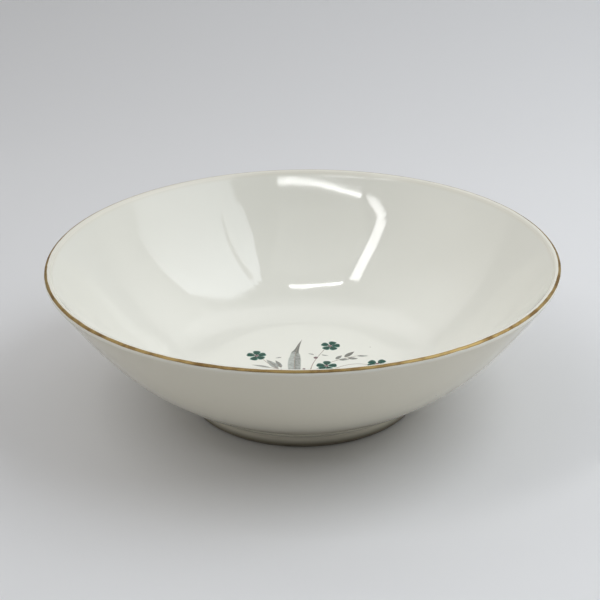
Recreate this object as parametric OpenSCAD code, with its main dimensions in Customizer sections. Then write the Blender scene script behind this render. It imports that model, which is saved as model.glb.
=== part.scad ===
// A round porcelain serving bowl of coupe shape: an open bowl whose wall runs from the foot to
// the lip in one curve. The fired clay, its two coats of glaze, the gold line on the lip and the
// colours of the flower print in the well are separate pieces. Millimetres, +Z up, and the origin
// is on the table under the middle of the bowl.

/* [Bowl] */
// Diameter over the lip
rim_d = 230; // [210:5:250]
// Height of the lip above the table
bowl_h = 70; // [64:1:78]
// Height of the middle of the well above the table
well_h = 10; // [9:0.5:12]
// Thickness over both faces of the lip
lip_t = 3.1; // [2.6:0.1:4]
// Thickness of the wall beside the foot
wall_t = 3.8; // [3.4:0.1:5]
// Slope of the wall beside the foot, in degrees above level
foot_slope = 34; // [30:1:37]
// Slope of the wall at the lip, in degrees above level
lip_slope = 57; // [53:1:62]
// How far the wall keeps to each of its two slopes, as a share of the way to where they meet
belly = 0.9; // [0.6:0.05:0.95]

/* [Foot] */
// Diameter of the foot where it stands, over the glaze
foot_d = 108; // [104:1:112]
// Height of the foot
foot_h = 6; // [5:0.5:7]
// Width of the foot where it stands, over both corners
foot_w = 4; // [3.5:0.5:5]
// How much wider each side of the foot gets towards the wall
foot_spread = 1; // [0.5:0.25:1.5]
// Radius of the corners that the foot stands on
foot_corner = 0.8; // [0.4:0.1:1]

/* [Glaze] */
// Thickness of the glaze
glaze_t = 0.25; // [0.15:0.05:0.3]
// Height of the clay edge that is wiped bare of glaze, so that the bowl can stand in the kiln
bare_h = 1.4; // [1.2:0.2:2.4]

/* [Gold line] */
// Where the gold ends inside, in sixteenths of the way round the lip from its inner face
gold_in = 6; // [5:1:8]
// Where the gold ends outside, in sixteenths of the way round the lip from its inner face
gold_out = 10; // [10:1:14]
// Thickness of the gold
gold_t = 0.06; // [0.04:0.02:0.1]

/* [Flower print] */
// Thickness of the printed colours
print_t = 0.08; // [0.06:0.02:0.12]
// Diameter of a flower
flower_d = 10.2; // [9:0.2:11]
// Width of a petal
petal_w = 3.3; // [2.8:0.1:3.6]
// Diameter of a flower's eye
eye_d = 1.9; // [1.4:0.1:2.2]
// Diameter of a bud
bud_d = 1.4; // [1:0.1:1.8]
// Width of a stem at its foot
stem_w = 0.55; // [0.4:0.05:0.7]
// Width of the rib between the two halves of a leaf
rib_w = 0.3; // [0.2:0.05:0.4]

/* [Hidden] */

$fn = 96;
WALL_STEPS = 24;
WELL_STEPS = 16;
LIP_STEPS = 16;
CORNER_STEPS = 4;
LEAF_STEPS = 12;
STEM_STEPS = 10;
PETAL_TURN = 18;       // degrees between the points of a petal's outline
PETAL_GAP = 0.15;      // between a petal and the flower's eye
WELL_LEVEL = 8;        // radius of the level middle of the well
WELL_JOIN = 0.16;      // how far up the wall the well ends, as a share of the wall
PRINT_REACH = 46;      // radius of the part of the well that can take a print

BISQUE = "#e6e1d3";
IVORY = "#ece9dc";
GOLD = "#b8963e";
TEAL = "#1f7a6c";
MAUVE = "#8a6a68";
GREY = "#b9bdbb";
OLIVE = "#8d8271";

// Each flower: the place of its eye, seen from above, and the way that each petal points.
FLOWERS = [
    [-22.6, 13.9, [22, 90, 165, 250, 316]],
    [13.1, 23.4, [2, 66, 150, 230, 298]],
    [10.9, 2.9, [6, 86, 166, 226, 292]],
    [34.9, 3.5, [40, 140, 200, 262, 330]],
    [-16, -12, [60, 132, 204, 276, 348]],
    [22, -15, [40, 112, 184, 256, 328]]
];

// Each leaf: the place of its foot, the way that it points, its length, its width, and how far
// its tip curls to the left as a share of its length.
FEATHER_LEAF = [-3.6, -13, 94, 43, 6.6, -0.14];
LEFT_LEAVES = [
    [-12.2, 1, 120, 10.1, 2.9, 0.04],
    [-10.6, 1.8, 110, 7.4, 1.6, 0.06],
    [-15.8, 1.8, 159, 9.1, 1.7, 0.06],
    [-10.6, 12.2, 196, 3, 0.9, 0],
    [-9.4, -5.6, 168, 8.5, 2.2, 0.1]
];
RIGHT_LEAVES = [
    [15.6, 9.4, 58, 4.6, 1.8, -0.1],
    [17, 8.8, 6, 4.6, 1.7, 0],
    [19.8, 11.4, 52, 7, 2, -0.06],
    [21.4, 10.6, -20, 4.4, 1.9, 0.1],
    [25.8, 12.4, -8, 5.4, 1.4, 0.04],
    [5, 14.4, 146, 3, 0.9, 0.1],
    [8.8, 14.3, -24, 3.4, 0.9, 0.1],
    [17, -6.5, -10, 7, 2, 0.1]
];
LOWER_LEAVES = [
    [0.6, -24.5, 150, 15, 4.8, -0.16],
    [3.4, -22.6, 24, 14, 4.4, 0.16],
    [-6.4, -17, 206, 7.6, 2.2, -0.12],
    [12.4, -18, -38, 7.4, 2.2, 0.12]
];

// Each stem: the four points that shape its curve, from its foot to its tip.
STEMS = [
    [[1.4, -32], [1.8, -22], [0.2, -12], [3.2, -2]],
    [[3.2, -2.5], [3.6, 4], [5.4, 9.5], [10.4, 20.2]],
    [[1.6, -10], [3.6, -5], [6.2, -3.2], [8.8, -0.2]],
    [[1.2, -14], [8, -6], [21, 11], [32.4, 1.6]],
    [[0.9, -12], [-8, -6], [-14, 1], [-19.6, 10.6]],
    [[1.4, -22], [-3, -16], [-8, -14], [-12.2, -13]],
    [[1.4, -24], [8, -20], [13, -18], [18.6, -16.6]],
    [[2.4, -5], [8, 2], [12, 8.4], [25.8, 12.4]],
    [[-11.6, 0.4], [-13, 0.8], [-14.6, 1.4], [-15.8, 1.8]],
    [[6, -9.8], [10, -8], [14, -7], [17, -6.5]]
];

BUDS = [[0.2, 0], [5.9, 11.4], [-10.6, -0.6], [27.4, -5.6], [-3.6, -27.4], [-8.4, -20.6]];

function heading(a) = [cos(a), sin(a)];
function left_of(way) = [-way.y, way.x];
function backwards(points) = [for (i = [len(points) - 1 : -1 : 0]) points[i]];
function shares(steps) = [for (i = [0 : steps]) i / steps];

// The cubic curve that the four points p shape, and the way that it runs.
function curve(p, t) =
    pow(1 - t, 3) * p[0] + 3 * pow(1 - t, 2) * t * p[1]
    + 3 * (1 - t) * pow(t, 2) * p[2] + pow(t, 3) * p[3];
function curve_way(p, t) =
    let (d = pow(1 - t, 2) * (p[1] - p[0]) + 2 * (1 - t) * t * (p[2] - p[1])
        + pow(t, 2) * (p[3] - p[2]))
    d / norm(d);

// Where a line through p at slope a meets a line through q at slope b.
function meeting(p, a, q, b) =
    p + heading(a) * cross(q - p, heading(b)) / cross(heading(a), heading(b));

// The bowl's section. Every point is [radius, height], and a depth is measured into the bowl
// from its glazed face, so the glaze lies between depth 0 and depth glaze_t.
lip_r = lip_t / 2;
lip_middle = [rim_d / 2 - lip_r, bowl_h - lip_r];
foot_r = foot_d / 2;
wall_foot = [foot_r + foot_spread, foot_h];
wall_top = lip_middle + lip_r * heading(lip_slope - 90);
wall_bend = meeting(wall_foot, foot_slope, wall_top, lip_slope);
WALL = [
    wall_foot,
    wall_foot + belly * (wall_bend - wall_foot),
    wall_top + belly * (wall_bend - wall_top),
    wall_top
];

function outside(u, depth) = curve(WALL, u) + depth * left_of(curve_way(WALL, u));
function inside(u, depth) = outside(u, wall_t + (lip_t - wall_t) * u - depth);
function lip(step, depth) =
    lip_middle + (lip_r - depth) * heading(lip_slope + 90 - 180 * step / LIP_STEPS);
function foot_outside(z, depth) = [foot_r + foot_spread * z / foot_h - depth, z];
function foot_inside(z, depth) = [foot_r - foot_w - foot_spread * z / foot_h + depth, z];

// The well starts level and rises until it runs into the inside of the wall.
well_end = inside(WELL_JOIN, 0);
well_way = curve_way(WALL, WELL_JOIN);
well_rise = (well_end.y - well_h) / well_way.y;
WELL = [
    [WELL_LEVEL, well_h],
    [well_end.x / 2, well_h],
    well_end - well_rise * well_way,
    well_end
];
function well(t, depth) = curve(WELL, t) - depth * left_of(curve_way(WELL, t));

// The glazed face at a depth, from the middle of the well over the lip to the foot.
function face(depth) = concat(
    [[0, well_h - depth]],
    [for (t = shares(WELL_STEPS)) well(t, depth)],
    [for (i = [1 : WALL_STEPS]) inside(WELL_JOIN + (1 - WELL_JOIN) * i / WALL_STEPS, depth)],
    [for (step = [1 : LIP_STEPS - 1]) lip(step, depth)],
    [for (i = [WALL_STEPS : -1 : 1]) outside(i / WALL_STEPS, depth)],
    [foot_outside(foot_h, depth)]
);

// A quarter turn of radius foot_corner about middle, from slope a downwards.
function corner(middle, a) =
    [for (t = shares(CORNER_STEPS)) middle + foot_corner * heading(a - 90 * t)];

module bowl_body() {
    color(BISQUE)
    rotate_extrude()
    polygon(concat(face(glaze_t), [[0, foot_h]]));
}

module foot_ring() {
    color(BISQUE)
    rotate_extrude()
    polygon(concat(
        [foot_outside(foot_h, glaze_t)],
        corner(foot_outside(foot_corner, glaze_t + foot_corner), 0),
        corner(foot_inside(foot_corner, glaze_t + foot_corner), -90),
        [foot_inside(foot_h, glaze_t)]
    ));
}

module glaze_coat() {
    color(IVORY)
    rotate_extrude()
    polygon(concat(
        face(0),
        [foot_outside(bare_h, 0), foot_outside(bare_h, glaze_t)],
        backwards(face(glaze_t))
    ));
}

module recess_glaze() {
    color(IVORY)
    rotate_extrude()
    polygon([
        [0, foot_h],
        foot_inside(foot_h, glaze_t),
        foot_inside(bare_h, glaze_t),
        foot_inside(bare_h, 0),
        foot_inside(foot_h - glaze_t, 0),
        [0, foot_h - glaze_t]
    ]);
}

module gold_line() {
    steps = [gold_in : gold_out];
    color(GOLD)
    rotate_extrude()
    polygon(concat(
        [for (step = steps) lip(step, -gold_t)],
        backwards([for (step = steps) lip(step, 0)])
    ));
}

// A film of colour on the well, with the outline of its children.
module printed(colour) {
    reach = [for (t = shares(WELL_STEPS)) if (well(t, 0).x < PRINT_REACH) t];
    color(colour)
    intersection() {
        rotate_extrude()
        polygon(concat(
            [[0, well_h]],
            [for (t = reach) well(t, 0)],
            backwards([for (t = reach) well(t, -print_t)]),
            [[0, well_h + print_t]]
        ));
        linear_extrude(2 * well_h)
        children();
    }
}

// A petal along +X from the middle of its flower, widest near its tip.
module petal(tip) {
    root = eye_d / 2 + PETAL_GAP;
    polygon([
        for (a = [0 : PETAL_TURN : 359])
        let (along = (1 - cos(a)) / 2)
        [root + (tip - root) * along, petal_w * sin(a) * (0.25 + 0.3 * along)]
    ]);
}

// A flower's petals differ in length by a few hundredths.
module petals(flower) {
    translate([flower[0], flower[1]])
    for (a = flower[2])
    rotate(a)
    petal(flower_d / 2 * (0.97 + 0.03 * sin(9 * a)));
}

module eye(flower) {
    translate([flower[0], flower[1]])
    circle(d = eye_d);
}

function spine(leaf, t) = [leaf[3] * t, leaf[3] * leaf[5] * pow(t, 3)];
function blade(leaf, t) = leaf[4] / 2 * sin(180 * pow(t, 0.8));

// The strip of a leaf between two edges, each a list of distances to the left of the spine.
module leaf_strip(leaf, right_edge, left_edge) {
    steps = [0 : LEAF_STEPS];
    translate([leaf[0], leaf[1]])
    rotate(leaf[2])
    polygon(concat(
        [for (i = steps) spine(leaf, i / LEAF_STEPS) + [0, right_edge[i]]],
        backwards([for (i = steps) spine(leaf, i / LEAF_STEPS) + [0, left_edge[i]]])
    ));
}

module rib(leaf) {
    edge = [for (t = shares(LEAF_STEPS)) rib_w / 2 * (1 - 0.5 * t)];
    leaf_strip(leaf, -edge, edge);
}

module whole_leaf(leaf) {
    edge = [for (t = shares(LEAF_STEPS)) rib_w / 2 * (1 - 0.5 * t) + blade(leaf, t)];
    leaf_strip(leaf, -edge, edge);
}

// A stem is half as wide at its tip as at its foot.
module stem(p) {
    function edge(t, reach) = curve(p, t) + reach * (1 - t / 2) * left_of(curve_way(p, t));
    polygon(concat(
        [for (t = shares(STEM_STEPS)) edge(t, -stem_w / 2)],
        backwards([for (t = shares(STEM_STEPS)) edge(t, stem_w / 2)])
    ));
}

// What the leaves, the stems and the buds leave free.
module flower_room() {
    for (flower = FLOWERS) {
        petals(flower);
        eye(flower);
    }
}

module leaf_room() {
    for (leaf = concat([FEATHER_LEAF], LEFT_LEAVES, RIGHT_LEAVES, LOWER_LEAVES)) whole_leaf(leaf);
}

module bud_room() {
    for (bud = BUDS) translate(bud) circle(d = bud_d);
}

module flower_petals(n) {
    printed(TEAL)
    petals(FLOWERS[n - 1]);
}

module flower_eyes() {
    printed(MAUVE)
    for (flower = FLOWERS) eye(flower);
}

module leaves(group) {
    printed(GREY)
    difference() {
        for (leaf = group) whole_leaf(leaf);
        for (leaf = group) rib(leaf);
        flower_room();
    }
}

module leaf_ribs() {
    printed(OLIVE)
    difference() {
        for (leaf = concat([FEATHER_LEAF], LEFT_LEAVES, RIGHT_LEAVES, LOWER_LEAVES)) rib(leaf);
        flower_room();
    }
}

module stems() {
    printed(OLIVE)
    difference() {
        for (p = STEMS) stem(p);
        flower_room();
        leaf_room();
        bud_room();
    }
}

module buds() {
    printed(MAUVE)
    difference() {
        bud_room();
        flower_room();
        leaf_room();
    }
}

bowl_body();
foot_ring();
glaze_coat();
recess_glaze();
gold_line();
flower_petals(1);  // flower_1_petals
flower_petals(2);  // flower_2_petals
flower_petals(3);  // flower_3_petals
flower_petals(4);  // flower_4_petals
flower_petals(5);  // flower_5_petals
flower_petals(6);  // flower_6_petals
flower_eyes();
leaves([FEATHER_LEAF]);  // feather_leaf
leaves(LEFT_LEAVES);  // left_leaves
leaves(RIGHT_LEAVES);  // right_leaves
leaves(LOWER_LEAVES);  // lower_leaves
leaf_ribs();
stems();
buds();
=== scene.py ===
import math

import bmesh
import bpy
from mathutils import Matrix, Vector, noise
from mathutils.bvhtree import BVHTree
from mathutils.geometry import interpolate_bezier


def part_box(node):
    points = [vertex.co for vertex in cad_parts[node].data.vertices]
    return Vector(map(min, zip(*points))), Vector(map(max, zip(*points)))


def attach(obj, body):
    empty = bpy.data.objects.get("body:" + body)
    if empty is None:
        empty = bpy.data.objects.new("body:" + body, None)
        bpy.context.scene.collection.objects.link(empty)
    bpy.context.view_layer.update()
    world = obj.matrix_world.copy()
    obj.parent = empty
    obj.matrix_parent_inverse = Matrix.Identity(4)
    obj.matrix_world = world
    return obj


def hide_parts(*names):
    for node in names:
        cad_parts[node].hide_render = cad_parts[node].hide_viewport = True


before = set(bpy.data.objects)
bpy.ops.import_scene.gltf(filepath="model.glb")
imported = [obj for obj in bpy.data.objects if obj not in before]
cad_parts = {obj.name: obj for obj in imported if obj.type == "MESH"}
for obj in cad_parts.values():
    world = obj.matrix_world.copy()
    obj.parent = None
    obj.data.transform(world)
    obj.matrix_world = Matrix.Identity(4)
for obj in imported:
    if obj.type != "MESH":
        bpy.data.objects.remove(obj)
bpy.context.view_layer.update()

bl_info = {
    "name": "Porcelain serving bowl",
    "version": (1, 0, 0),
    "blender": (4, 5, 0),
    "location": "3D View > Sidebar > Bowl",
    "description": "Builds a glazed coupe bowl with a gold line on its lip and a printed spray of flowers",
    "category": "Object",
}

MM = 0.001

# Sizes that the frame settles.
RIM_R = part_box("glaze_coat")[1].x
BOWL_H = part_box("glaze_coat")[1].z
WELL_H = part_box("buds")[0].z
FOOT_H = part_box("foot_ring")[1].z
BARE_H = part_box("glaze_coat")[0].z

# The print, in millimetres on the well, seen from above.
# Each flower: the place of its eye, and the way that each petal points, in degrees.
FLOWERS = [
    ((-22.6, 13.9), (22, 90, 165, 250, 316)),
    ((13.1, 23.4), (2, 66, 150, 230, 298)),
    ((10.9, 2.9), (6, 86, 166, 226, 292)),
    ((34.9, 3.5), (40, 140, 200, 262, 330)),
    ((-16, -12), (60, 132, 204, 276, 348)),
    ((22, -15), (40, 112, 184, 256, 328)),
]

# Each leaf: the place of its foot, the way it points in degrees, its length, its width, how far
# its tip curls to the left as a share of its length, and how strongly it is inked, from 0 to 1.
FEATHER_LEAF = [((-3.6, -13), 94, 43, 6.6, -0.14, 0.35)]
LEFT_LEAVES = [
    ((-12.2, 1), 120, 10.3, 3.5, 0.04, 0.4),
    ((-10.6, 1.8), 108, 7.6, 2.4, 0.06, 0.6),
    ((-15.8, 1.8), 159, 9.1, 1.7, 0.06, 0.3),
    ((-10.6, 12.2), 196, 3, 0.9, 0, 0.25),
    ((-9.4, -5.6), 168, 8.5, 2.2, 0.1, 0.4),
]
RIGHT_LEAVES = [
    ((15.6, 9.4), 58, 4.8, 2.2, -0.1, 0.75),
    ((17, 8.8), 6, 5, 2.1, 0, 0.6),
    ((19.8, 11.4), 52, 7.2, 2.6, -0.06, 1.0),
    ((21.4, 10.6), -20, 4.8, 2.3, 0.1, 0.6),
    ((25.8, 12.4), -8, 5.4, 1.4, 0.04, 0.5),
    ((5, 14.4), 146, 3, 0.9, 0.1, 0.35),
    ((8.8, 14.3), -24, 3.4, 0.9, 0.1, 0.3),
    ((17, -6.5), -10, 7, 2, 0.1, 0.4),
]
LOWER_LEAVES = [
    ((0.6, -24.5), 150, 15, 4.8, -0.16, 0.4),
    ((3.4, -22.6), 24, 14, 4.4, 0.16, 0.35),
    ((-6.4, -17), 206, 7.6, 2.2, -0.12, 0.5),
    ((12.4, -18), -38, 7.4, 2.2, 0.12, 0.5),
]

# Each stem: the four points that shape its curve, from its foot to its tip.
STEMS = [
    ((1.4, -32), (1.8, -22), (0.2, -12), (3.2, -2)),
    ((3.2, -2.5), (3.6, 4), (5.4, 9.5), (10.4, 20.2)),
    ((1.6, -10), (3.6, -5), (6.2, -3.2), (8.8, -0.2)),
    ((1.2, -14), (8, -6), (21, 11), (32.4, 1.6)),
    ((0.9, -12), (-8, -6), (-14, 1), (-19.6, 10.6)),
    ((1.4, -22), (-3, -16), (-8, -14), (-12.2, -13)),
    ((1.4, -24), (8, -20), (13, -18), (18.6, -16.6)),
    ((2.4, -5), (8, 2), (12, 8.4), (25.8, 12.4)),
    ((-11.6, 0.4), (-13, 0.8), (-14.6, 1.4), (-15.8, 1.8)),
    ((6, -9.8), (10, -8), (14, -7), (17, -6.5)),
]

# Each bud: its place, and its size as a share of the usual one.
BUDS = [
    ((0.2, 0), 1),
    ((5.9, 11.4), 1.5),
    ((-10.6, -0.6), 1.1),
    ((27.4, -5.6), 1),
    ((-3.6, -27.4), 1),
    ((-8.4, -20.6), 1),
]


def linear(hex_colour):
    """The linear colour of an sRGB hex value."""
    channels = [int(hex_colour[i : i + 2], 16) / 255 for i in (1, 3, 5)]
    return tuple(c / 12.92 if c <= 0.04045 else ((c + 0.055) / 1.055) ** 2.4 for c in channels)


def length(name, description, millimetres):
    """A length that can be changed in the panel."""
    return bpy.props.FloatProperty(
        name=name, description=description, default=millimetres * MM, precision=5, unit="LENGTH"
    )


def angle(name, description, degrees):
    """An angle that can be changed in the panel."""
    return bpy.props.FloatProperty(
        name=name, description=description, default=math.radians(degrees), subtype="ANGLE"
    )


def colour(name, description, hex_colour):
    """A colour that can be changed in the panel."""
    return bpy.props.FloatVectorProperty(
        name=name, description=description, default=linear(hex_colour), subtype="COLOR", min=0, max=1
    )


def radiance(name, description, strength):
    """How brightly a light shines, which can be changed in the panel."""
    return bpy.props.FloatProperty(name=name, description=description, default=strength, min=0)


class BowlSizes(bpy.types.PropertyGroup):
    """The shape of the clay and its glaze."""

    foot_slope: angle("Foot slope", "Slope of the wall beside the foot, above level", 34)
    lip_slope: angle("Lip slope", "Slope of the wall at the lip, above level", 57)
    belly: bpy.props.FloatProperty(
        name="Belly", description="How far the wall keeps to each slope before it bends", default=0.9
    )
    wall: length("Wall", "Thickness of the wall beside the foot", 3.8)
    lip: length("Lip", "Thickness of the lip", 3.1)
    hollow: length("Hollow", "How much the wall thins a little below the lip", 0.3)
    foot_r: length("Foot radius", "Outer radius of the foot where it stands", 54)
    foot_width: length("Foot width", "Width of the foot where it stands", 4)
    foot_spread: length("Foot spread", "How much wider each side of the foot gets upwards", 1)
    foot_corner: length("Foot corner", "Radius of the corners that the foot stands on", 0.8)
    glaze: length("Glaze", "Thickness of the glaze", 0.25)
    fillet: length("Fillet", "How far glaze pools into the corner above the foot", 1.3)
    waver: length("Waver", "How far the fired surface strays from a true turned one", 0.01)
    rounds: bpy.props.IntProperty(name="Rounds", description="Steps round the bowl", default=240)


class GoldSizes(bpy.types.PropertyGroup):
    """The gold line on the lip."""

    start: angle("Inner edge", "Where the gold ends inside, round the lip from level outwards", 82)
    end: angle("Outer edge", "Where the gold ends outside, round the lip from level outwards", 31)
    thickness: length("Thickness", "Thickness of the gold", 0.05)
    ragged: angle("Ragged edge", "How far each edge of the brushed line strays", 6)


class PrintSizes(bpy.types.PropertyGroup):
    """The flower print in the well."""

    film: length("Film", "Thickness of the printed colours", 0.07)
    flower: length("Flower", "Diameter of a flower", 10.2)
    petal: length("Petal", "Width of a petal", 5)
    eye: length("Eye", "Diameter of a flower's eye", 1.9)
    bud: length("Bud", "Diameter of a bud", 1.4)
    stem: length("Stem", "Width of a stem at its foot", 0.55)
    rib: length("Rib", "Width of a leaf's rib", 0.3)


class BowlColours(bpy.types.PropertyGroup):
    """The colours of the clay, the glaze, the gold, the enamels and the paper."""

    glaze: colour("Glaze", "Ivory glaze over white clay", "#efeee5")
    # Painted shade: faces that point downwards take this darker glaze colour.
    glaze_shaded_under: colour("Glaze underneath", "Where the glaze is thicker, outside", "#e0dbca")
    # Painted shade: the glaze darkens to this colour towards the bare edge of the foot.
    glaze_foot_shade: colour("Pooled glaze", "Where the glaze greys towards the bare edge", "#837d6a")
    glaze_thin: colour("Thin glaze", "Where the glaze runs thin on the lip", "#ebe8dc")
    # The bare clay's dark colours are partly dust and partly painted shade where the foot meets the floor.
    bisque: colour("Bisque", "Bare fired clay", "#857d6e")
    bisque_dust_and_shade: colour("Bisque grime", "Shelf dust in the bare clay", "#514a3e")
    gold: colour("Gold", "Bright fired gold", "#a8905e")
    gold_worn: colour("Worn gold", "Gold that has thinned over the glaze", "#866c45")
    teal: colour("Teal", "Where the petal enamel is thick", "#07493c")
    aqua: colour("Aqua", "Where the petal enamel is thin", "#7dbfae")
    mauve: colour("Mauve", "The flowers' eyes and the buds", "#5c464a")
    pink: colour("Pink", "The light grains in an eye", "#a88688")
    slate: colour("Slate", "Where the leaf enamel is thick", "#64655f")
    silver: colour("Silver", "Where the leaf enamel is thin", "#bfc4bf")
    # Painted shade: the dark of a pinhole's pit, over the clay that shows there; the mesh has no pit.
    pinhole_shade: colour("Pinhole", "The clay at the bottom of a pinhole", "#8a7f6c")
    umber: colour("Umber", "Where the stem enamel is thick", "#7d6e5f")
    rose: colour("Rose", "Where the stem enamel is thin", "#c4aaa0")
    paper: colour("Paper", "The backdrop and the floor", "#e0e0e1")


class StageSettings(bpy.types.PropertyGroup):
    """The camera and the light."""

    camera_back: length("Camera distance", "How far the camera stands in front of the bowl", 521.6)
    camera_up: length("Camera height", "How high the camera stands", 287.6)
    camera_pitch: angle("Camera pitch", "How far the camera looks down", 24.86)
    camera_turn: angle("Camera turn", "How far the camera turns to the left", 0.14)
    camera_roll: angle("Camera roll", "How far the camera leans", -0.75)
    camera_lens: bpy.props.FloatProperty(
        name="Camera lens", description="Focal length in millimetres", default=75, unit="CAMERA"
    )
    strip: radiance("Strips", "Radiance of the thin light strips", 24)
    strip_side: radiance("Side strip", "Radiance of the wide strip", 9)
    fold: radiance("Fold", "Radiance of the panel's fold", 1)
    panel: radiance("Panel", "Radiance of the side panel", 2.1)
    panel_colour: colour("Panel colour", "Cool daylight through the side panel", "#f4faff")
    panel_spread: angle("Panel spread", "How wide the side panel shines", 132)
    box: radiance("Boxes", "Radiance of the two soft boxes behind", 0.11)
    box_spread: angle("Box spread", "How wide the two soft boxes shine", 60)


def bezier(points, steps):
    """Points along the cubic curve that four points shape."""
    return [p.to_2d() for p in interpolate_bezier(*[Vector((*p, 0)) for p in points], steps)]


def heading(turn):
    """The unit vector at an angle."""
    return Vector((math.cos(turn), math.sin(turn)))


def smooth(low, high, x):
    """A smooth step from 0 at low to 1 at high."""
    t = min(max((x - low) / (high - low), 0), 1)
    return t * t * (3 - 2 * t)


WALL_STEPS = 48
WELL_STEPS = 24
LIP_STEPS = 20
CORNER_STEPS = 6
WELL_LEVEL = 8 * MM    # radius of the level middle of the well
WELL_JOIN = 8          # the step of the wall where the well ends
HOLLOW_PEAK = 256 / 27    # brings the most that the hollow thins the wall to its set size
FILLET_BEND = 0.3      # how close the fillet's curve keeps to the corner, as a share of its size

LONG_WAVE = 34 * MM    # the size of the long and the short waves that firing leaves in a surface
SHORT_WAVE = 13 * MM
SHORT_SHARE = 0.4      # the height of the short waves, as a share of the long ones
LEVEL_R = 40 * MM      # the waves go straight up inside this radius
STEEP_R = 75 * MM      # and straight outwards beyond this one
STILL_R = 0.9 * RIM_R  # they die away from this radius to the lip

MERGE = 0.001 * MM     # points closer than this are one
SHARP = math.radians(50)    # a crease sharper than this stays sharp


class Section:
    """The bowl's section. Each point is (radius, height), and a depth is measured into the bowl from its
    glazed face."""

    def __init__(self, sizes):
        self.sizes = sizes
        self.lip_r = sizes.lip / 2
        self.lip_middle = Vector((RIM_R - self.lip_r, BOWL_H - self.lip_r))
        foot = Vector((sizes.foot_r + sizes.foot_spread, FOOT_H))
        top = self.lip_middle + self.lip_r * heading(sizes.lip_slope - math.pi / 2)
        out, back = heading(sizes.foot_slope), heading(sizes.lip_slope)
        gap = top - foot
        bend = foot + out * (gap.cross(back) / out.cross(back))
        handles = foot.lerp(bend, sizes.belly), top.lerp(bend, sizes.belly)
        self.wall = bezier((foot, *handles, top), WALL_STEPS + 1)
        self.well = self.well_points()

    def way(self, line, i):
        """The way that a line of points runs at point i."""
        return (line[min(i + 1, len(line) - 1)] - line[max(i - 1, 0)]).normalized()

    def outside(self, i, depth):
        """A point on the outside of the wall."""
        way = self.way(self.wall, i)
        return self.wall[i] + depth * Vector((-way.y, way.x))

    def inside(self, i, depth):
        """A point on the inside of the wall."""
        up = i / WALL_STEPS
        thickness = self.sizes.wall + (self.sizes.lip - self.sizes.wall) * up
        thickness -= self.sizes.hollow * HOLLOW_PEAK * up**3 * (1 - up)
        return self.outside(i, thickness - depth)

    def well_points(self):
        """The well's face, level in the middle and running into the inside of the wall."""
        end = self.inside(WELL_JOIN, 0)
        way = self.way(self.wall, WELL_JOIN)
        bend = end - way * ((end.y - WELL_H) / way.y)
        return bezier(((WELL_LEVEL, WELL_H), (end.x / 2, WELL_H), bend, end), WELL_STEPS + 1)

    def well_at(self, i, depth):
        """A point on the well."""
        way = self.way(self.well, i)
        return self.well[i] - depth * Vector((-way.y, way.x))

    def lip(self, turn, depth):
        """A point on the lip, by its angle above level outwards."""
        return self.lip_middle + (self.lip_r - depth) * heading(turn)

    def foot_outside(self, z, depth):
        """A point on the outer side of the foot."""
        return Vector((self.sizes.foot_r + self.sizes.foot_spread * z / FOOT_H - depth, z))

    def foot_inside(self, z, depth):
        """A point on the inner side of the foot."""
        inner = self.sizes.foot_r - self.sizes.foot_width
        return Vector((inner - self.sizes.foot_spread * z / FOOT_H + depth, z))

    def face(self, depth):
        """The glazed face at a depth, from the middle of the well over the lip to the foot."""
        start = self.sizes.lip_slope + math.pi / 2
        fillet = self.sizes.fillet
        wall_end = next(i for i, p in enumerate(self.wall) if (p - self.wall[0]).length > fillet)
        corner = bezier(
            (
                self.outside(wall_end, depth),
                self.outside(0, depth).lerp(self.outside(wall_end, depth), FILLET_BEND),
                self.foot_outside(FOOT_H - FILLET_BEND * fillet, depth),
                self.foot_outside(FOOT_H - fillet, depth),
            ),
            CORNER_STEPS + 1,
        )
        return [
            Vector((0, WELL_H - depth)),
            *[self.well_at(i, depth) for i in range(WELL_STEPS + 1)],
            *[self.inside(i, depth) for i in range(WELL_JOIN + 1, WALL_STEPS + 1)],
            *[self.lip(start - math.pi * i / LIP_STEPS, depth) for i in range(1, LIP_STEPS)],
            *[self.outside(i, depth) for i in range(WALL_STEPS, wall_end, -1)],
            *corner,
        ]


def strayed(place, waver):
    """Where a point of a true turned bowl ends up after firing."""
    swell = noise.noise(place / LONG_WAVE) + SHORT_SHARE * noise.noise(place / SHORT_WAVE)
    outwards = Vector((place.x, place.y, 0)).normalized() if place.to_2d().length else Vector()
    steep = smooth(LEVEL_R, STEEP_R, place.to_2d().length)
    return place + waver * swell * (steep * outwards + (1 - steep) * Vector((0, 0, 1)))


def finished(bm, name, material):
    """An object in the scene from a closed mesh, whose material slot it fills."""
    bmesh.ops.recalc_face_normals(bm, faces=bm.faces)
    mesh = bpy.data.meshes.new(name)
    bm.to_mesh(mesh)
    bm.free()
    mesh.shade_smooth()
    mesh.set_sharp_from_angle(angle=SHARP)
    mesh.materials.append(material)
    piece = bpy.data.objects.new(name, mesh)
    bpy.context.scene.collection.objects.link(piece)
    return piece


def spun(name, section, sizes, material, true_foot=FOOT_H):
    """A turned piece from its section. Nothing under true_foot wavers, because the bowl stands on it."""
    bm = bmesh.new()
    verts = [bm.verts.new((p.x, 0, p.y)) for p in section]
    ends = zip(verts, verts[1:] + verts[:1]) if section[0].x > 0 else zip(verts, verts[1:])
    edges = [bm.edges.new(pair) for pair in ends]
    bmesh.ops.spin(
        bm, geom=verts + edges, axis=(0, 0, 1), angle=math.tau, steps=sizes.rounds, use_merge=True
    )
    bmesh.ops.remove_doubles(bm, verts=bm.verts, dist=MERGE)
    for v in bm.verts:
        reach = v.co.to_2d().length
        free = smooth(true_foot, 3 * true_foot, v.co.z) * (1 - smooth(STILL_R, RIM_R, reach))
        v.co = strayed(v.co.copy(), sizes.waver * free)
    return finished(bm, name, material)


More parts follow.
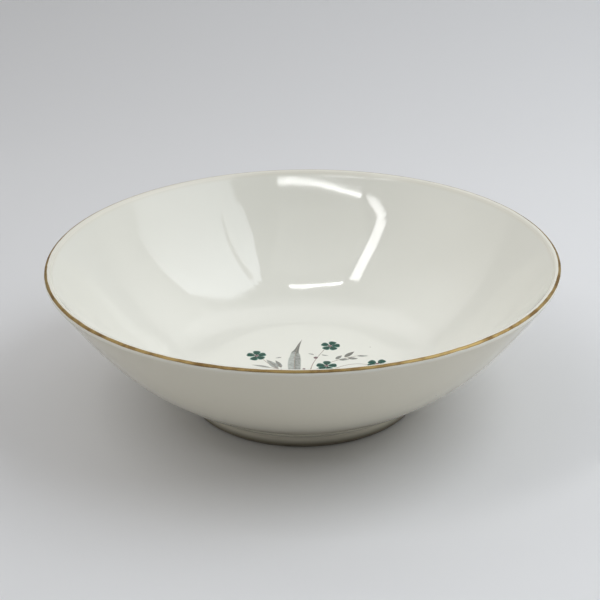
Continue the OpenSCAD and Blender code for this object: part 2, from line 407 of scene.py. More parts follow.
def add(owner, kind, inputs=None, **settings):
    """Adds a node to a material or a world. Its inputs, by name or number, take a value or an output."""
    made = owner.node_tree.nodes.new(kind)
    for name, value in settings.items():
        setattr(made, name, value)
    for key, value in (inputs or {}).items():
        if isinstance(value, bpy.types.NodeSocket):
            owner.node_tree.links.new(value, made.inputs[key])
        else:
            made.inputs[key].default_value = value
    return made


MIX_A, MIX_B, MIX_OUT = 6, 7, 2    # the colour sockets of a Mix node
GLASS_IOR = 1.52       # of the glaze and of the enamels, which are glass


def new_material(name):
    """A node material without nodes."""
    material = bpy.data.materials.new(name)
    material.use_nodes = True
    material.node_tree.nodes.clear()
    return material


def rgba(colour_value):
    """A colour with full alpha."""
    return (*colour_value, 1)


CLOUD_SHADE = 0.975    # how dark the clouds in the glaze are, against its own colour
# Painted shade darkens the glaze from this height down to the bare edge of the foot.
FOOT_SHADE_TOP = 0.7 * FOOT_H    # the glaze greys from here down to the bare edge
THIN_FROM = BOWL_H - 3 * MM    # the glaze thins from here up to the next height
THIN_FULL = BOWL_H - 0.6 * MM
THIN_ROUGHER = 0.28    # how much rougher it is where it is thin
PINHOLE_GAP = 11 * MM    # the size of the cells that may each hold a pinhole
PINHOLE_CORE = 0.022   # the radii of its core and of its edge, as shares of that
PINHOLE_EDGE = 0.03
NO_PINHOLE = 0.86      # the share of the cells that hold none


def glaze_material(name, colours):
    """Feldspathic ivory glaze, dipped and fired glossy: a hard clear gloss over a warm off-white, with a
    few pinholes, a paler edge where it runs thin over the lip, and a very slight orange peel. Painted shade
    darkens its downward faces, its foot and its pinholes."""
    m = new_material(name)
    place = add(m, "ShaderNodeTexCoord").outputs["Object"]
    height = add(m, "ShaderNodeSeparateXYZ", {"Vector": place}).outputs["Z"]
    cloud = add(m, "ShaderNodeTexNoise", {"Vector": place, "Scale": 1 / (28 * MM), "Detail": 3})
    shade = [channel * CLOUD_SHADE for channel in colours.glaze]
    cloudy = add(
        m,
        "ShaderNodeMix",
        {"Factor": cloud.outputs["Fac"], MIX_A: rgba(colours.glaze), MIX_B: rgba(shade)},
        data_type="RGBA",
    ).outputs[MIX_OUT]
    # Painted shade: the glaze on faces that point downwards is painted darker.
    facing = add(m, "ShaderNodeNewGeometry").outputs["Normal"]
    upwards = add(m, "ShaderNodeSeparateXYZ", {"Vector": facing}).outputs["Z"]
    outside = add(
        m,
        "ShaderNodeMapRange",
        {"Value": upwards, "From Min": 0.1, "From Max": -0.1},
    ).outputs["Result"]
    underside_shaded = add(
        m,
        "ShaderNodeMix",
        {"Factor": outside, MIX_A: cloudy, MIX_B: rgba(colours.glaze_shaded_under)},
        data_type="RGBA",
    ).outputs[MIX_OUT]
    # Painted shade: the glaze darkens towards the bare edge, where the bowl stands on the floor.
    foot_shade_mask = add(
        m,
        "ShaderNodeMapRange",
        {"Value": height, "From Min": FOOT_SHADE_TOP, "From Max": BARE_H},
    ).outputs["Result"]
    foot_shaded = add(
        m,
        "ShaderNodeMix",
        {"Factor": foot_shade_mask, MIX_A: underside_shaded, MIX_B: rgba(colours.glaze_foot_shade)},
        data_type="RGBA",
    ).outputs[MIX_OUT]
    thin = add(
        m,
        "ShaderNodeMapRange",
        {"Value": height, "From Min": THIN_FROM, "From Max": THIN_FULL},
        interpolation_type="SMOOTHSTEP",
    ).outputs["Result"]
    body = add(
        m,
        "ShaderNodeMix",
        {"Factor": thin, MIX_A: foot_shaded, MIX_B: rgba(colours.glaze_thin)},
        data_type="RGBA",
    ).outputs[MIX_OUT]
    # A pinhole is at most 0.7 mm across, and only the few cells whose middle is on the surface show one.
    cells = add(m, "ShaderNodeTexVoronoi", {"Vector": place, "Scale": 1 / PINHOLE_GAP})
    off_middle = cells.outputs["Distance"]
    hole = add(
        m,
        "ShaderNodeMapRange",
        {"Value": off_middle, "From Min": PINHOLE_CORE, "From Max": PINHOLE_EDGE, "To Min": 1, "To Max": 0},
    ).outputs["Result"]
    rare = add(m, "ShaderNodeSeparateColor", {"Color": cells.outputs["Color"]}).outputs["Red"]
    chosen = add(
        m, "ShaderNodeMath", {0: rare, 1: NO_PINHOLE}, operation="GREATER_THAN"
    ).outputs["Value"]
    pinhole_shade = add(m, "ShaderNodeMath", {0: hole, 1: chosen}, operation="MULTIPLY").outputs["Value"]
    # Each pinhole is a painted dark dot: painted shade of its pit, over the clay that shows there.
    with_pinhole_shade = add(
        m,
        "ShaderNodeMix",
        {"Factor": pinhole_shade, MIX_A: body, MIX_B: rgba(colours.pinhole_shade)},
        data_type="RGBA",
    ).outputs[MIX_OUT]
    peel = add(m, "ShaderNodeTexNoise", {"Vector": place, "Scale": 1 / (6 * MM), "Detail": 1})
    bump = add(
        m,
        "ShaderNodeBump",
        {"Height": peel.outputs["Fac"], "Strength": 0.5, "Distance": 0.012 * MM},
    ).outputs["Normal"]
    gloss = add(
        m,
        "ShaderNodeMapRange",
        {"Value": cloud.outputs["Fac"], "To Min": 0.03, "To Max": 0.055},
    ).outputs["Result"]
    rough = add(
        m, "ShaderNodeMath", {0: thin, 1: THIN_ROUGHER, 2: gloss}, operation="MULTIPLY_ADD"
    ).outputs["Value"]
    shader = add(
        m,
        "ShaderNodeBsdfPrincipled",
        {"Base Color": with_pinhole_shade, "Roughness": rough, "IOR": GLASS_IOR, "Normal": bump},
    )
    add(m, "ShaderNodeOutputMaterial", {"Surface": shader.outputs["BSDF"]})
    return m


def bisque_material(name, colours):
    """Bare porcelain, wiped of glaze and fired: a dry, slightly sandy edge, dark partly with dust in its
    pores and partly with painted shade where it stands on the floor.
    """
    m = new_material(name)
    place = add(m, "ShaderNodeTexCoord").outputs["Object"]
    grit = add(m, "ShaderNodeTexNoise", {"Vector": place, "Scale": 1 / (0.8 * MM), "Detail": 4})
    grime = add(m, "ShaderNodeTexNoise", {"Vector": place, "Scale": 1 / (9 * MM), "Detail": 4})
    # Dark patches on the bare clay: partly dust, partly painted shade.
    dust_and_shade = add(
        m,
        "ShaderNodeMapRange",
        {"Value": grime.outputs["Fac"], "From Min": 0.5, "From Max": 0.8, "To Max": 0.6},
    ).outputs["Result"]
    body = add(
        m,
        "ShaderNodeMix",
        {"Factor": dust_and_shade, MIX_A: rgba(colours.bisque), MIX_B: rgba(colours.bisque_dust_and_shade)},
        data_type="RGBA",
    ).outputs[MIX_OUT]
    bump = add(
        m,
        "ShaderNodeBump",
        {"Height": grit.outputs["Fac"], "Strength": 0.6, "Distance": 0.05 * MM},
    ).outputs["Normal"]
    shader = add(
        m, "ShaderNodeBsdfPrincipled", {"Base Color": body, "Roughness": 0.75, "Normal": bump}
    )
    add(m, "ShaderNodeOutputMaterial", {"Surface": shader.outputs["BSDF"]})
    return m


def gold_material(name, colours):
    """Liquid bright gold, brushed on and fired: a satin warm metal, browner in patches that have worn."""
    m = new_material(name)
    place = add(m, "ShaderNodeTexCoord").outputs["Object"]
    patches = add(m, "ShaderNodeTexNoise", {"Vector": place, "Scale": 1 / (7 * MM), "Detail": 5})
    worn = add(
        m,
        "ShaderNodeMapRange",
        {"Value": patches.outputs["Fac"], "From Min": 0.4, "From Max": 0.66},
        interpolation_type="SMOOTHSTEP",
    ).outputs["Result"]
    body = add(
        m,
        "ShaderNodeMix",
        {"Factor": worn, MIX_A: rgba(colours.gold), MIX_B: rgba(colours.gold_worn)},
        data_type="RGBA",
    ).outputs[MIX_OUT]
    rough = add(
        m, "ShaderNodeMapRange", {"Value": worn, "To Min": 0.5, "To Max": 0.62}
    ).outputs["Result"]
    shader = add(
        m, "ShaderNodeBsdfPrincipled", {"Base Color": body, "Metallic": 1, "Roughness": rough}
    )
    add(m, "ShaderNodeOutputMaterial", {"Surface": shader.outputs["BSDF"]})
    return m


STREAK = 0.25          # how much more or less ink there is in a streak
EDGE_FULL = 0.35       # how far in from a stroke's edge, from 0 to 1, its colour covers fully


def enamel_material(name, colours, thin, thick, grain_mm, cover):
    """On-glaze enamel, printed and fired into the glaze: glossy, thin at the edge of each stroke, where
    the ivory shows through, and streaked where the colour gathers."""
    m = new_material(name)
    place = add(m, "ShaderNodeTexCoord").outputs["Object"]
    ink = add(m, "ShaderNodeAttribute", attribute_name="ink").outputs["Fac"]
    edge = add(m, "ShaderNodeAttribute", attribute_name="edge").outputs["Fac"]
    grain = add(m, "ShaderNodeTexNoise", {"Vector": place, "Scale": 1 / (grain_mm * MM), "Detail": 3})
    streaks = grain.outputs["Fac"]
    uneven = add(
        m,
        "ShaderNodeMapRange",
        {"Value": streaks, "From Min": 0.3, "From Max": 0.7, "To Min": -STREAK, "To Max": STREAK},
    ).outputs["Result"]
    amount = add(
        m, "ShaderNodeMath", {0: ink, 1: uneven}, operation="ADD", use_clamp=True
    ).outputs["Value"]
    pigment = add(
        m,
        "ShaderNodeMix",
        {"Factor": amount, MIX_A: rgba(thin), MIX_B: rgba(thick)},
        data_type="RGBA",
    ).outputs[MIX_OUT]
    covered = add(
        m,
        "ShaderNodeMapRange",
        {"Value": edge, "From Max": EDGE_FULL, "To Max": cover},
        interpolation_type="SMOOTHSTEP",
    ).outputs["Result"]
    body = add(
        m,
        "ShaderNodeMix",
        {"Factor": covered, MIX_A: rgba(colours.glaze), MIX_B: pigment},
        data_type="RGBA",
    ).outputs[MIX_OUT]
    shader = add(
        m, "ShaderNodeBsdfPrincipled", {"Base Color": body, "Roughness": 0.06, "IOR": GLASS_IOR}
    )
    add(m, "ShaderNodeOutputMaterial", {"Surface": shader.outputs["BSDF"]})
    return m


def paper_material(name, colours):
    """Matt seamless background paper: a fine tooth that gives no gloss."""
    m = new_material(name)
    place = add(m, "ShaderNodeTexCoord").outputs["Object"]
    tooth = add(m, "ShaderNodeTexNoise", {"Vector": place, "Scale": 1 / (3 * MM), "Detail": 3})
    bump = add(
        m,
        "ShaderNodeBump",
        {"Height": tooth.outputs["Fac"], "Strength": 0.1, "Distance": 0.05 * MM},
    ).outputs["Normal"]
    shader = add(
        m,
        "ShaderNodeBsdfPrincipled",
        {"Base Color": rgba(colours.paper), "Roughness": 0.9, "Specular IOR Level": 0.1, "Normal": bump},
    )
    add(m, "ShaderNodeOutputMaterial", {"Surface": shader.outputs["BSDF"]})
    return m


def material_named(name, make, *arguments):
    """The material of a name, which a function makes the first time."""
    return bpy.data.materials.get(name) or make(name, *arguments)


# Each enamel: its name, its colour where it is thin and where it is thick, the size of its streaks in
# millimetres, and how far it hides the glaze, from 0 to 1.
ENAMELS = {
    "teal": ("Teal on-glaze enamel, printed and fired", "aqua", "teal", 0.9, 1),
    "mauve": ("Mauve on-glaze enamel, dotted and fired", "pink", "mauve", 0.5, 0.95),
    "grey": ("Grey on-glaze enamel, washed and fired", "silver", "slate", 1.4, 0.9),
    "brown": ("Brown on-glaze enamel, drawn and fired", "rose", "umber", 1.2, 0.85),
}


def enamel(key, colours):
    """One of the enamels."""
    name, thin, thick, grain_mm, cover = ENAMELS[key]
    thin, thick = getattr(colours, thin), getattr(colours, thick)
    return material_named(name, enamel_material, colours, thin, thick, grain_mm, cover)


def enter(piece, slot, *nodes):
    """Puts a finished piece into the frame in place of its CAD nodes."""
    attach(piece, "root")
    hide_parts(*nodes)


class BOWL_OT_clay(bpy.types.Operator):
    """Turn the clay body and its foot ring"""

    bl_idname = "bowl.clay"
    bl_label = "Clay"

    def execute(self, context):
        sizes = context.scene.bowl_sizes
        section = Section(sizes)
        bisque = material_named(
            "Bare bisque porcelain, wiped and fired", bisque_material, context.scene.bowl_colours
        )
        glaze = sizes.glaze
        body = [*section.face(glaze)[:-1], section.foot_outside(FOOT_H, glaze), Vector((0, FOOT_H))]
        enter(spun("clay_body", body, sizes, bisque), "bisque", "bowl_body")
        corner = sizes.foot_corner
        outer = section.foot_outside(corner, glaze + corner)
        inner = section.foot_inside(corner, glaze + corner)
        steps = [math.pi / 2 * i / CORNER_STEPS for i in range(CORNER_STEPS + 1)]
        ring = [
            section.foot_outside(FOOT_H, glaze),
            *[outer + corner * heading(-turn) for turn in steps],
            *[inner + corner * heading(-math.pi / 2 - turn) for turn in steps],
            section.foot_inside(FOOT_H, glaze),
        ]
        enter(spun("foot_ring_turned", ring, sizes, bisque), "bisque", "foot_ring")
        return {"FINISHED"}


class BOWL_OT_glaze(bpy.types.Operator):
    """Dip the bowl in its glaze, which stops short of the edge that it stands on"""

    bl_idname = "bowl.glaze"
    bl_label = "Glaze"

    def execute(self, context):
        sizes = context.scene.bowl_sizes
        section = Section(sizes)
        ivory = material_named(
            "Ivory feldspathic glaze, dipped and fired", glaze_material, context.scene.bowl_colours
        )
        coat = [
            *section.face(0),
            section.foot_outside(BARE_H, 0),
            section.foot_outside(BARE_H, sizes.glaze),
            *reversed(section.face(sizes.glaze)),
        ]
        enter(spun("glaze_coat_fired", coat, sizes, ivory), "glaze", "glaze_coat")
        recess = [
            Vector((0, FOOT_H)),
            section.foot_inside(FOOT_H, sizes.glaze),
            section.foot_inside(BARE_H, sizes.glaze),
            section.foot_inside(BARE_H, 0),
            section.foot_inside(FOOT_H - sizes.glaze, 0),
            Vector((0, FOOT_H - sizes.glaze)),
        ]
        enter(spun("recess_glaze_fired", recess, sizes, ivory), "glaze", "recess_glaze")
        return {"FINISHED"}


GOLD_SINKS = 0.2       # how far the gold sinks into the glaze, as a share of its thickness
# The brush's broad and fine wobbles: how closely they follow each other, their height as a share of the
# ragged setting, and a number that makes the line's two edges differ.
BRUSH = ((26, 1, 0.3), (90, 0.5, 2))


class BOWL_OT_gold(bpy.types.Operator):
    """Brush the gold line round the lip"""

    bl_idname = "bowl.gold"
    bl_label = "Gold line"

    def execute(self, context):
        sizes, gold = context.scene.bowl_sizes, context.scene.bowl_gold
        section = Section(sizes)
        steps = [gold.start + (gold.end - gold.start) * i / LIP_STEPS for i in range(LIP_STEPS + 1)]
        outline = [section.lip(turn, -gold.thickness) for turn in steps]
        outline += [section.lip(turn, GOLD_SINKS * gold.thickness) for turn in reversed(steps)]
        metal = material_named("Bright gold, brushed and fired", gold_material, context.scene.bowl_colours)
        piece = spun("gold_line_brushed", outline, sizes, metal)
        middle = (gold.start + gold.end) / 2
        for v in piece.data.vertices:
            out = v.co.to_2d().normalized()
            across = Vector((v.co.to_2d().length, v.co.z)) - section.lip_middle
            turn = math.atan2(across.y, across.x)
            edge = (turn - middle) / (gold.start - middle)
            side = math.copysign(1, edge)
            stray = sum(
                height * noise.noise(Vector((*out, apart * side)) * waves) for waves, height, apart in BRUSH
            )
            bent = heading(turn + gold.ragged * stray * edge * edge * side) * across.length
            place = section.lip_middle + bent
            v.co = (out.x * place.x, out.y * place.x, place.y)
        enter(piece, "gold", "gold_line")
        return {"FINISHED"}


def petal_shape(place, way, sizes, shape_seed):
    """The outline of one petal, from its root beside the eye to its broad tip."""
    root = sizes.eye / 2 - 0.1 * MM
    tip = sizes.flower / 2 * (0.97 + 0.03 * math.sin(9 * way))
    middle = Vector(place) * MM

    def shape(u, side):
        along = (1 - math.cos(math.pi * u)) / 2
        broad = sizes.petal * math.sin(math.pi * u) * (0.32 + 0.24 * along)
        broad *= 1 + 0.12 * noise.noise(Vector((3 * u, 2 * side, shape_seed)))
        point = Vector((root + (tip - root) * along, side * broad))
        turn = Matrix.Rotation(way, 2)
        # The colour gathers along the middle of the petal and near the eye.
        ink = 1.3 - 0.95 * side * side - 0.3 * smooth(0.7, 1, along)
        edge = min(1 - abs(side), 3 * (1 - along), 1)
        return middle + turn @ point, ink, edge

    return shape


def leaf_shape(leaf, half, rib):
    """The outline of one half of a leaf, between its rib and its edge."""
    foot, way, leaf_length, width, curl, inked = leaf
    turn = Matrix.Rotation(math.radians(way), 2)
    lobed = leaf_length > 30

    def shape(u, side):
        blade = width / 2 * math.sin(math.pi * u**0.8)
        if lobed:
            blade *= 1 - 0.4 * smooth(0.66 + 0.04 * half, 0.74 + 0.04 * half, u)
        blade *= 1 + 0.1 * noise.noise(Vector((9 * u, half, leaf_length)))
        share = (side + 1) / 2
        off = half * (rib / MM / 2 * (1 - 0.5 * u) + blade * share)
        spine = Vector((leaf_length * u, leaf_length * curl * u**3 + off))
        ink = inked + 0.25 * (1 - share) ** 2 + 0.2 * share**3
        if lobed:
            ink += 1.2 * smooth(0.64, 0.82, u) - 0.15 * half
        edge = min(1.6 * (1 - share), 8 * u, 6 * (1 - u), 1)
        return (Vector(foot) + turn @ spine) * MM, ink, edge

    return shape


def rib_shape(leaf, rib):
    """The outline of a leaf's rib."""
    foot, way, leaf_length, _, curl, inked = leaf
    turn = Matrix.Rotation(math.radians(way), 2)

    def shape(u, side):
        off = side * rib / MM / 2 * (1 - 0.5 * u)
        spine = Vector((leaf_length * u, leaf_length * curl * u**3 + off))
        return (Vector(foot) + turn @ spine) * MM, inked + 0.3, min(1 - abs(side), 1) + 0.3

    return shape


STEM_STEPS = 40


def stem_shape(points, sizes):
    """The outline of a stem, half as wide at its tip as at its foot."""
    line = [p * MM for p in bezier(points, STEM_STEPS + 1)]

    def shape(u, side):
        i = min(int(u * STEM_STEPS + 0.5), STEM_STEPS)
        way = (line[min(i + 1, STEM_STEPS)] - line[max(i - 1, 0)]).normalized()
        broad = sizes.stem / 2 * (1 - u / 2) * (1 + 0.25 * noise.noise(Vector((14 * u, *points[0]))))
        ink = 0.5 + 0.5 * noise.noise(Vector((6 * u, *points[3])))
        return line[i] + side * broad * Vector((-way.y, way.x)), ink, 1.2 - abs(side)

    return shape


def dot_shape(place, diameter, inked):
    """The outline of an eye or a bud."""
    middle = Vector(place) * MM

    def shape(u, side):
        lean = math.pi * (1 - u)
        point = Vector((math.cos(lean), side * math.sin(lean))) * diameter / 2
        point *= 1 + 0.1 * noise.noise(Vector((*place, math.atan2(point.y, point.x))))
        return middle + point, inked, min(2 * (1 - point.length / (diameter / 2)) + 0.25, 1)

    return shape


LAP = 0.003 * MM       # how much higher each of a few neighbouring films lies, so that none share a face
LAPS = 5
EDGE_FILM = 0.4        # how thick a film is at its edge, as a share of the middle
STEM_FILM = 0.7        # how thick a stem is, as a share of the other films


def printed(name, shapes, grid, film, material):
    """Films of enamel on the well, each a grid whose points take a shape's places."""
    glaze = bpy.data.objects["glaze_coat_fired"]
    ground = BVHTree.FromPolygons(
        [v.co for v in glaze.data.vertices], [p.vertices for p in glaze.data.polygons]
    )
    bm = bmesh.new()
    ink_layer = bm.verts.layers.float.new("ink")
    edge_layer = bm.verts.layers.float.new("edge")
    above = Vector((0, 0, BOWL_H))
    for n, shape in enumerate(shapes):
        made = bmesh.ops.create_grid(bm, x_segments=grid[0], y_segments=grid[1], size=0.5)
        for v in made["verts"]:
            side = 2 * v.co.y
            place, v[ink_layer], v[edge_layer] = shape(v.co.x + 0.5, side)
            hit = ground.ray_cast(place.to_3d() + above, Vector((0, 0, -1)))[0]
            v.co = hit + Vector((0, 0, n % LAPS * LAP))
    bmesh.ops.remove_doubles(bm, verts=bm.verts, dist=MERGE)
    top = bmesh.ops.extrude_face_region(bm, geom=bm.faces[:], use_keep_orig=True)
    for v in top["geom"]:
        if isinstance(v, bmesh.types.BMVert):
            v.co.z += film * (EDGE_FILM + (1 - EDGE_FILM) * smooth(0, 0.6, v[edge_layer]))
    return finished(bm, name, material)


class BOWL_OT_flowers(bpy.types.Operator):
    """Print the petals and the eye of each flower"""

    bl_idname = "bowl.flowers"
    bl_label = "Flowers"

    def execute(self, context):
        sizes, colours = context.scene.bowl_print, context.scene.bowl_colours
        teal, mauve = enamel("teal", colours), enamel("mauve", colours)
        for n, (place, ways) in enumerate(FLOWERS, 1):
            petals = [petal_shape(place, math.radians(way), sizes, 7 * n + way) for way in ways]
            piece = printed(f"flower_{n}_enamel", petals, (16, 8), sizes.film, teal)
            enter(piece, "teal_enamel", f"flower_{n}_petals")
        eyes = [dot_shape(place, sizes.eye, 0.6) for place, _ in FLOWERS]
        enter(printed("flower_eyes_enamel", eyes, (12, 8), sizes.film, mauve), "mauve_enamel", "flower_eyes")
        buds = [dot_shape(place, share * sizes.bud, 0.7) for place, share in BUDS]
        enter(printed("buds_enamel", buds, (10, 8), sizes.film, mauve), "mauve_enamel", "buds")
        return {"FINISHED"}


class BOWL_OT_leaves(bpy.types.Operator):
    """Print the two halves of each leaf, and its rib"""

    bl_idname = "bowl.leaves"
    bl_label = "Leaves"

    def execute(self, context):
        sizes, colours = context.scene.bowl_print, context.scene.bowl_colours
        grey, brown = enamel("grey", colours), enamel("brown", colours)
        groups = {
            "feather_leaf": FEATHER_LEAF,
            "left_leaves": LEFT_LEAVES,
            "right_leaves": RIGHT_LEAVES,
            "lower_leaves": LOWER_LEAVES,
        }
        for name, leaves in groups.items():
            halves = [leaf_shape(leaf, half, sizes.rib) for leaf in leaves for half in (1, -1)]
            piece = printed(f"{name}_enamel", halves, (28, 6), sizes.film, grey)
            enter(piece, "grey_enamel", name)
        ribs = [rib_shape(leaf, sizes.rib) for leaves in groups.values() for leaf in leaves]
        enter(printed("leaf_ribs_enamel", ribs, (24, 2), sizes.film, brown), "brown_enamel", "leaf_ribs")
        return {"FINISHED"}


class BOWL_OT_stems(bpy.types.Operator):
    """Print the stems"""

    bl_idname = "bowl.stems"
    bl_label = "Stems"

    def execute(self, context):
        sizes, colours = context.scene.bowl_print, context.scene.bowl_colours
        brown = enamel("brown", colours)
        stems = [stem_shape(points, sizes) for points in STEMS]
        piece = printed("stems_enamel", stems, (STEM_STEPS, 2), STEM_FILM * sizes.film, brown)
        enter(piece, "brown_enamel", "stems")
        return {"FINISHED"}


# Each light strip: the four points that shape its curve, and its width at each end, in metres. They
# hang level, all at one height.
LIGHTS_UP = 1.0
STRIP_STEPS = 6
THIN_STRIPS = (
    (((0.21, -0.79), (-0.03, -0.83), (-0.29, -0.79), (-0.535, -0.67)), (0.006, 0.01)),
    (((0.08, -0.036), (-0.03, -0.048), (-0.14, -0.037), (-0.25, -0.007)), (0.008, 0.01)),
)
# The wide strip bends back at its middle, so it is two curves.
SIDE_STRIP = (
    (((-0.59, -0.645), (-0.64, -0.605), (-0.72, -0.53), (-0.71, -0.46)), (0.01, 0.095)),
    (((-0.71, -0.46), (-0.68, -0.42), (-0.49, -0.26), (-0.315, 0.01)), (0.105, 0.07)),
)
FOLD = (((0.72, -0.5), (0.58, -0.32), (0.45, -0.15), (0.31, -0.01)), (0.03, 0.04))

# The side panel: the corners of its near edge, and where it ends, in metres.
PANEL_EDGE = (
    (0.64, -0.66), (0.52, -0.62), (0.4, -0.46), (0.28, -0.15), (0.25, -0.02), (0.47, 0.2), (0.72, 0.42),
)
PANEL_END = 1.6
PANEL_BANDS = 40
# Each ceiling light: its middle and its size, in metres, its radiance, and how wide it shines, in degrees.
CEILING = (
    ((-0.175, -0.41, 1.01), (0.75, 0.62), 0.44, 180),
    ((0, 0.9, 1.2), (1.6, 0.8), 0.34, 120),
    ((0, 0.35, 1.0), (1.2, 0.5), 0.09, 90),
)
# The soft box behind on the right, which the one on the left mirrors: its middle, its size and what it
# faces, in metres.
BOX_PLACE = (0.6, 0.7, 0.9)
BOX_SIZE = (1.1, 1.1)
BOX_AIM = (0, 0, 0.03)


def area_light(name, middle, size, strength, turn=0, aim=None, spread=math.pi, tint=(1, 1, 1)):
    """A rectangular light, given by its radiance. It faces straight down, or towards aim."""
    data = bpy.data.lights.new(name, "AREA")
    data.color = tint
    data.shape = "RECTANGLE"
    data.size, data.size_y = size
    data.energy = strength * math.pi * size[0] * size[1]
    data.spread = spread
    lamp = bpy.data.objects.new(name, data)
    lamp.location = middle
    lamp.rotation_euler = (aim - Vector(middle)).to_track_quat("-Z", "Y").to_euler() if aim else (0, 0, turn)
    bpy.context.scene.collection.objects.link(lamp)


def hang_strip(name, points, widths, strength):
    """A strip of light along a curve, in straight lengths whose width changes evenly."""
    line = bezier(points, STRIP_STEPS + 1)
    for n, (start, end) in enumerate(zip(line, line[1:]), 1):
        run = end - start
        width = widths[0] + (widths[1] - widths[0]) * (n - 0.5) / STRIP_STEPS
        middle = (*((start + end) / 2), LIGHTS_UP)
        area_light(f"{name}_{n}", middle, (run.length, width), strength, turn=math.atan2(run.y, run.x))


def hang_panel(strength, spread, tint):
    """A panel of light with a slanting edge, in bands that each start at that edge."""
    low, high = PANEL_EDGE[0][1], PANEL_EDGE[-1][1]
    wide = (high - low) / PANEL_BANDS
    for n in range(PANEL_BANDS):
        y = low + wide * (n + 0.5)
        start, end = next(pair for pair in zip(PANEL_EDGE, PANEL_EDGE[1:]) if y <= pair[1][1])
        x = start[0] + (end[0] - start[0]) * (y - start[1]) / (end[1] - start[1])
        middle = ((x + PANEL_END) / 2, y, LIGHTS_UP)
        area_light(f"panel_{n + 1}", middle, (PANEL_END - x, wide), strength, spread=spread, tint=tint)


# Each glow of the light tent: its bearing clockwise from straight behind the bowl and its height, in
# degrees, how tight it is, and its radiance.
GLOWS = ((270, 8, 4, 0.78), (90, 8, 4, 1.02), (256, 39, 8, 0.48))


def light_tent():
    """A world that glows softly from a few sides."""
    world = bpy.data.worlds.new("light_tent")
    world.use_nodes = True
    world.node_tree.nodes.clear()
    way = add(world, "ShaderNodeTexCoord").outputs["Generated"]
    total = 0.0
    for bearing, up, tightness, strength in GLOWS:
        flat = math.cos(math.radians(up))
        aim = (
            flat * math.sin(math.radians(bearing)), flat * math.cos(math.radians(bearing)),
            math.sin(math.radians(up)),
        )
        dot = add(world, "ShaderNodeVectorMath", {0: way, 1: aim}, operation="DOT_PRODUCT").outputs["Value"]
        near = add(world, "ShaderNodeMath", {0: dot, 1: 0.0}, operation="MAXIMUM").outputs["Value"]
        tight = add(world, "ShaderNodeMath", {0: near, 1: tightness}, operation="POWER").outputs["Value"]
        total = add(
            world, "ShaderNodeMath", {0: tight, 1: strength, 2: total}, operation="MULTIPLY_ADD"
        ).outputs["Value"]
    glow = add(world, "ShaderNodeBackground", {"Color": (1, 1, 1, 1), "Strength": total})
    add(world, "ShaderNodeOutputWorld", {"Surface": glow.outputs["Background"]})
    return world


# The paper: how far it reaches to each side and to the front, where it bends up behind the bowl, where
# it ends, and how widely it bends, in metres.
PAPER_REACH = 8
PAPER_BEND_Y = 0.75
PAPER_END_Y = 0.9
PAPER_END_UP = 0.6
PAPER_BEND = 0.4
PAPER_STEPS = 24
SENSOR = 36            # width of the camera's sensor, in millimetres


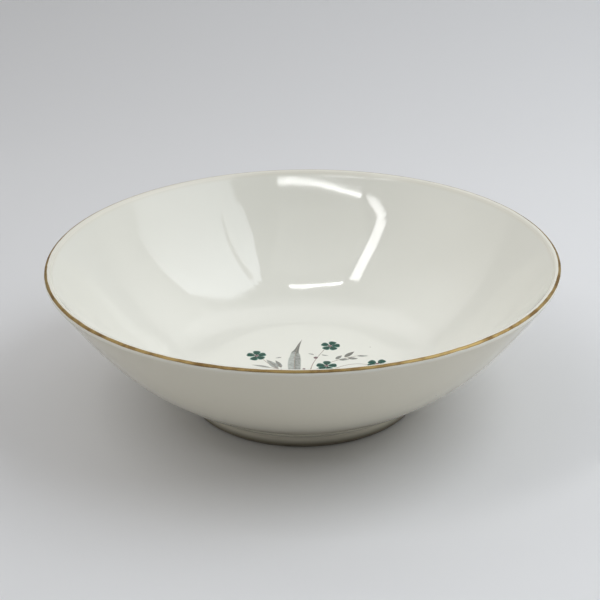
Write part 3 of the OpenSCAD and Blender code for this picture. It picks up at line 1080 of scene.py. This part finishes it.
class BOWL_OT_stage(bpy.types.Operator):
    """Lay the paper, hang the lights and stand the camera"""

    bl_idname = "bowl.stage"
    bl_label = "Stage"

    def execute(self, context):
        scene, stage = context.scene, context.scene.bowl_stage
        bm = bmesh.new()
        line = ((-PAPER_REACH, 0), (PAPER_BEND_Y, 0), (PAPER_END_Y, PAPER_END_UP))
        verts = [bm.verts.new((-PAPER_REACH, *place)) for place in line]
        edges = [bm.edges.new(pair) for pair in zip(verts, verts[1:])]
        swept = bmesh.ops.extrude_edge_only(bm, edges=edges)
        moved = [v for v in swept["geom"] if isinstance(v, bmesh.types.BMVert)]
        bmesh.ops.translate(bm, vec=(2 * PAPER_REACH, 0, 0), verts=moved)
        corner = [e for e in bm.edges if all(abs(v.co.y - PAPER_BEND_Y) < MM for v in e.verts)]
        bmesh.ops.bevel(
            bm, geom=corner, offset=PAPER_BEND, offset_type="OFFSET", segments=PAPER_STEPS, profile=0.5,
            affect="EDGES", material=-1,
        )
        matt = material_named("Seamless background paper, matt", paper_material, scene.bowl_colours)
        paper = finished(bm, "paper_sweep", matt)
        if paper.data.polygons[0].normal.z < 0:
            paper.data.flip_normals()

        for n, curve in enumerate(THIN_STRIPS, 1):
            hang_strip(f"strip_{n}", *curve, stage.strip)
        for n, curve in enumerate(SIDE_STRIP, 1):
            hang_strip(f"strip_side_{n}", *curve, stage.strip_side)
        hang_strip("fold", *FOLD, stage.fold)
        hang_panel(stage.panel, stage.panel_spread, stage.panel_colour)
        for name, side in (("box_left", -1), ("box_right", 1)):
            place = (side * BOX_PLACE[0], *BOX_PLACE[1:])
            area_light(name, place, BOX_SIZE, stage.box, aim=Vector(BOX_AIM), spread=stage.box_spread)

        for n, (middle, size, strength, spread) in enumerate(CEILING, 1):
            area_light(f"ceiling_{n}", middle, size, strength, spread=math.radians(spread))

        scene.world = light_tent()

        lens = bpy.data.cameras.new("camera")
        lens.lens = stage.camera_lens
        lens.sensor_width = SENSOR
        camera = bpy.data.objects.new("camera", lens)
        camera.matrix_world = (
            Matrix.Translation((0, -stage.camera_back, stage.camera_up))
            @ Matrix.Rotation(stage.camera_turn, 4, "Z")
            @ Matrix.Rotation(math.pi / 2 - stage.camera_pitch, 4, "X")
            @ Matrix.Rotation(stage.camera_roll, 4, "Z")
        )
        scene.collection.objects.link(camera)
        scene.camera = camera
        scene.view_settings.view_transform = "Standard"
        return {"FINISHED"}


OPERATORS = (
    BOWL_OT_clay, BOWL_OT_glaze, BOWL_OT_gold, BOWL_OT_flowers, BOWL_OT_leaves, BOWL_OT_stems,
    BOWL_OT_stage,
)
GROUPS = {
    "bowl_sizes": BowlSizes,
    "bowl_gold": GoldSizes,
    "bowl_print": PrintSizes,
    "bowl_colours": BowlColours,
    "bowl_stage": StageSettings,
}


class BOWL_PT_panel(bpy.types.Panel):
    """The bowl's sizes and colours, and a button for each step"""

    bl_idname = "BOWL_PT_panel"
    bl_label = "Porcelain bowl"
    bl_space_type = "VIEW_3D"
    bl_region_type = "UI"
    bl_category = "Bowl"

    def draw(self, context):
        for operator in OPERATORS:
            self.layout.operator(operator.bl_idname)
        for name, group in GROUPS.items():
            box = self.layout.box()
            box.label(text=group.__doc__)
            for setting in group.__annotations__:
                box.prop(getattr(context.scene, name), setting)


def register():
    for group in GROUPS.values():
        bpy.utils.register_class(group)
    for name, group in GROUPS.items():
        setattr(bpy.types.Scene, name, bpy.props.PointerProperty(type=group))
    for operator in OPERATORS:
        bpy.utils.register_class(operator)
    bpy.utils.register_class(BOWL_PT_panel)


def unregister():
    bpy.utils.unregister_class(BOWL_PT_panel)
    for operator in reversed(OPERATORS):
        bpy.utils.unregister_class(operator)
    for name, group in GROUPS.items():
        delattr(bpy.types.Scene, name)
        bpy.utils.unregister_class(group)


def main():
    register()
    for operator in OPERATORS:
        getattr(bpy.ops.bowl, operator.bl_idname.split(".")[1])()


if __name__ == "__main__":
    main()
